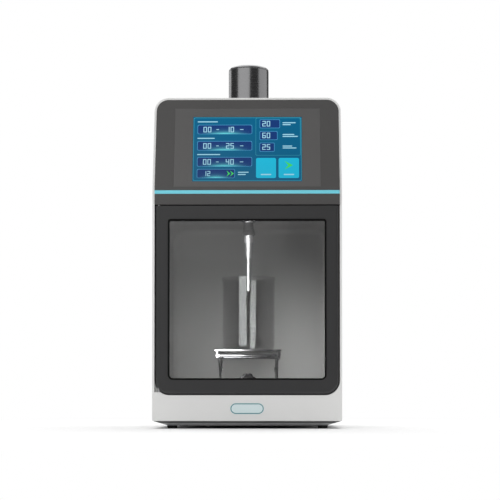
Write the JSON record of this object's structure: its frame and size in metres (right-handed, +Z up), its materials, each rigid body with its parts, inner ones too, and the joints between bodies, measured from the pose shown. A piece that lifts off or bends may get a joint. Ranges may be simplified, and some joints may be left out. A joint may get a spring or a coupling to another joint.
{
  "type": "ultrasonic homogenizer",
  "caption": "Bench ultrasonic homogenizer: cabinet with a leaning touch-screen head, a glazed door, a probe hanging in the chamber and a scissor jack holding a beaker.",
  "frame": {"origin": "on the bench plane under the middle of the cabinet's footprint, where the feet's undersides lie", "axes": "+Z up along the probe, the door and the screen face -Y, +X to the right of a person in front"},
  "size_m": [0.264, 0.3, 0.5318],
  "materials": {
    "shell_white": "satin",
    "pan_dark": "matte",
    "rubber_dark": "matte",
    "screw_steel": "satin",
    "door_dark": "satin",
    "bead_black": "matte",
    "tinted_glass": "gloss",
    "inner_plastic": "matte",
    "magnet_metal": "satin",
    "bush_plastic": "matte",
    "bracket_steel": "satin",
    "head_dark": "satin",
    "accent_cyan": "gloss",
    "overlay_grey": "satin",
    "display_glass": "gloss",
    "display_metal": "satin",
    "board_green": "satin",
    "badge_pale": "satin",
    "liner_grey": "satin",
    "frame_paint": "satin",
    "collar_plastic": "matte",
    "housing_metal": "satin",
    "horn_metal": "polished",
    "tip_metal": "polished",
    "steel_mass": "satin",
    "ceramic": "matte",
    "electrode_metal": "satin",
    "jack_steel": "satin",
    "knob_black": "satin",
    "beaker_glass": "gloss",
    "panel_steel": "satin",
    "fan_black": "satin",
    "guard_steel": "satin",
    "socket_black": "satin",
    "rocker_black": "gloss",
    "sink_metal": "satin",
    "coil_metal": "satin",
    "supply_metal": "satin"
  },
  "bodies": {
    "cabinet": {"case_shell": "shell_white", "base_pan": "pan_dark", "rubber_feet": "rubber_dark", "case_screws": "screw_steel", "hinge_pins": "screw_steel", "hinge_bracket": "bracket_steel", "head_fascia": "head_dark", "accent_strip": "accent_cyan", "front_overlay": "overlay_grey", "display_glass": "display_glass", "display_module": "display_metal", "display_board": "board_green", "badge_plate": "badge_pale", "chamber_liner": "liner_grey", "chamber_frame": "frame_paint", "horn_collar": "collar_plastic", "transducer_seat": "inner_plastic", "roof_seal": "rubber_dark", "rear_panel": "panel_steel", "fan_frame": "fan_black", "fan_guard": "guard_steel", "power_inlet": "socket_black", "switch_body": "socket_black", "generator_board": "board_green", "heat_sink": "sink_metal", "output_transformer": "coil_metal", "power_supply": "supply_metal", "jack_base": "jack_steel", "jack_feet": "rubber_dark", "jack_rear_shaft": "jack_steel"},
    "door": {"door_frame": "door_dark", "window_bead": "bead_black", "window_pane": "tinted_glass", "pane_retainer": "inner_plastic", "door_gasket": "rubber_dark", "door_magnet": "magnet_metal", "hinge_bushes": "bush_plastic"},
    "transducer": {"transducer_housing": "housing_metal", "housing_lid": "housing_metal", "horn": "horn_metal", "horn_boot": "rubber_dark", "horn_tip": "tip_metal", "front_mass": "horn_metal", "piezo_rings": "ceramic", "electrodes": "electrode_metal", "back_mass": "steel_mass", "stack_bolt": "steel_mass"},
    "outer_arms": {"jack_outer_arms": "jack_steel", "jack_pivot_pins": "jack_steel", "jack_upper_front_shaft": "jack_steel"},
    "inner_arms": {"jack_inner_arms": "jack_steel"},
    "jack_table": {"jack_top_plate": "jack_steel", "jack_upper_rear_shaft": "jack_steel"},
    "nut": {"jack_nut_shaft": "jack_steel"},
    "screw": {"jack_screw": "screw_steel", "jack_knob": "knob_black"},
    "beaker": {"beaker": "beaker_glass"},
    "fan": {"fan_rotor": "fan_black"},
    "fuse_tray": {"fuse_drawer": "socket_black"},
    "rocker": {"switch_rocker": "rocker_black"}
  },
  "joints": [
    {"name": "door_hinge", "type": "hinge", "parent": "cabinet", "child": "door", "pos_m": [-0.1228, -0.146, 0.18], "axis": [0, 0, -1], "range_deg": [0, 100]},
    {"name": "transducer_lift", "type": "slide", "parent": "cabinet", "child": "transducer", "axis": [0, 0, 1], "range_m": [0, 0.28]},
    {"name": "jack_raise", "type": "hinge", "parent": "cabinet", "child": "outer_arms", "pos_m": [0, 0.015, 0.0665], "axis": [-1, 0, 0], "range_deg": [-10.3, 36.1]},
    {"name": "jack_cross", "type": "hinge", "parent": "outer_arms", "child": "inner_arms", "pos_m": [0, -0.02497, 0.0856], "axis": [1, 0, 0], "range_deg": [-20.8, 72.4]},
    {"name": "jack_table_pivot", "type": "hinge", "parent": "inner_arms", "child": "jack_table", "pos_m": [0, 0.015, 0.1047], "axis": [-1, 0, 0], "range_deg": [-10.4, 36.2]},
    {"name": "jack_nut_pivot", "type": "hinge", "parent": "inner_arms", "child": "nut", "pos_m": [0, -0.06494, 0.0665], "axis": [-1, 0, 0], "range_deg": [-10.4, 36.2]},
    {"name": "jack_screw_turn", "type": "hinge", "parent": "cabinet", "child": "screw", "pos_m": [0, -0.089, 0.0665], "axis": [0, 1, 0], "range_deg": [-870, 3040]},
    {"name": "beaker_lift", "type": "slide", "parent": "jack_table", "child": "beaker", "axis": [0, 0, 1], "range_m": [0, 0.03]},
    {"name": "fan_spin", "type": "hinge", "parent": "cabinet", "child": "fan", "pos_m": [0.062, 0.126, 0.385], "axis": [0, 1, 0], "continuous": true},
    {"name": "fuse_drawer_pull", "type": "slide", "parent": "cabinet", "child": "fuse_tray", "axis": [0, 1, 0], "range_m": [0, 0.012]},
    {"name": "rocker_tilt", "type": "hinge", "parent": "cabinet", "child": "rocker", "pos_m": [-0.04, 0.142, 0.06], "axis": [1, 0, 0], "range_deg": [-20, 0]}
  ],
  "couplings": [
    {"joint": "jack_cross", "follows": "jack_raise", "ratio": 2},
    {"joint": "jack_table_pivot", "follows": "jack_raise", "ratio": 1},
    {"joint": "jack_nut_pivot", "follows": "jack_raise", "ratio": 1},
    {"joint": "jack_screw_turn", "follows": "jack_raise", "ratio": 84}
  ]
}
